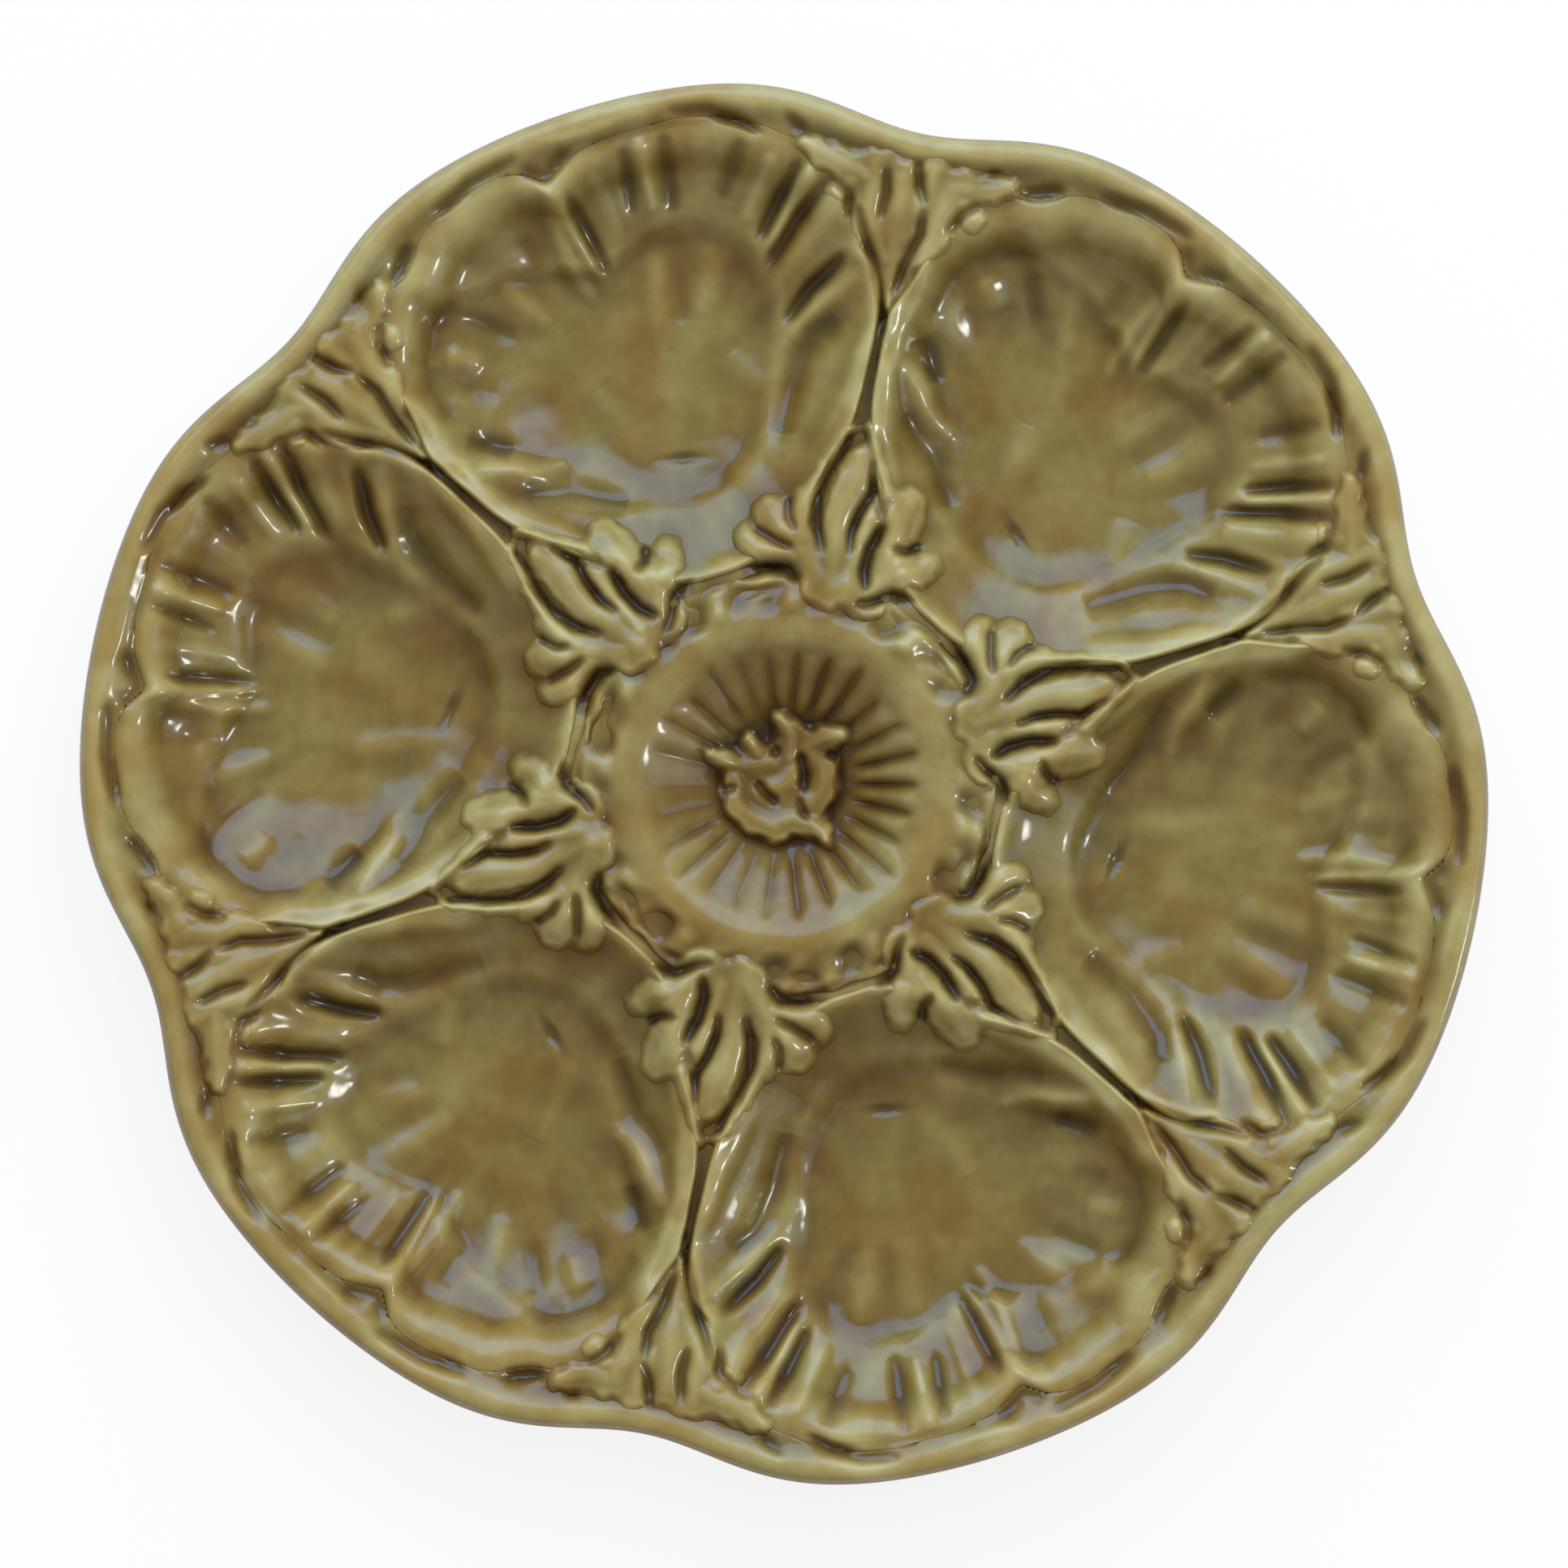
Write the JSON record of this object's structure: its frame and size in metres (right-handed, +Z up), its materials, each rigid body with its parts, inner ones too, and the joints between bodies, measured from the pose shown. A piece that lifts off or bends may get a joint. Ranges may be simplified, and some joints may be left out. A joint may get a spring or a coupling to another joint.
{
  "type": "oyster plate",
  "caption": "Round scalloped plate of green glazed earthenware with fluted shell wells round a small sauce well, joined by moulded coral, on a foot ring.",
  "frame": {"origin": "middle of the foot ring's underside, at the height of the table", "axes": "+Z up through the middle of the plate, wells open upwards; the first shell lies 48 degrees from +X"},
  "size_m": [0.2496, 0.2482, 0.0265],
  "materials": {
    "body_glaze": "glossy translucent olive green majolica glaze",
    "foot_glaze": "glossy olive glaze, wiped thin on the foot",
    "shell_glaze": "glossy translucent olive glaze, darker where it pools",
    "sauce_glaze": "glossy brown olive glaze",
    "coral_glaze": "glossy light olive glaze, thin on the high edges"
  },
  "bodies": {
    "root": {"plate_base": "body_glaze", "foot_ring": "foot_glaze", "oyster_shell_1": "shell_glaze", "oyster_shell_2": "shell_glaze", "oyster_shell_3": "shell_glaze", "oyster_shell_4": "shell_glaze", "oyster_shell_5": "shell_glaze", "oyster_shell_6": "shell_glaze", "sauce_well": "sauce_glaze", "coral_wreath": "coral_glaze", "coral_spray_1": "coral_glaze", "coral_spray_2": "coral_glaze", "coral_spray_3": "coral_glaze", "coral_spray_4": "coral_glaze", "coral_spray_5": "coral_glaze", "coral_spray_6": "coral_glaze", "rim_coral_1": "coral_glaze", "rim_coral_2": "coral_glaze", "rim_coral_3": "coral_glaze", "rim_coral_4": "coral_glaze", "rim_coral_5": "coral_glaze", "rim_coral_6": "coral_glaze", "centre_sprig": "coral_glaze"}
  },
  "joints": []
}
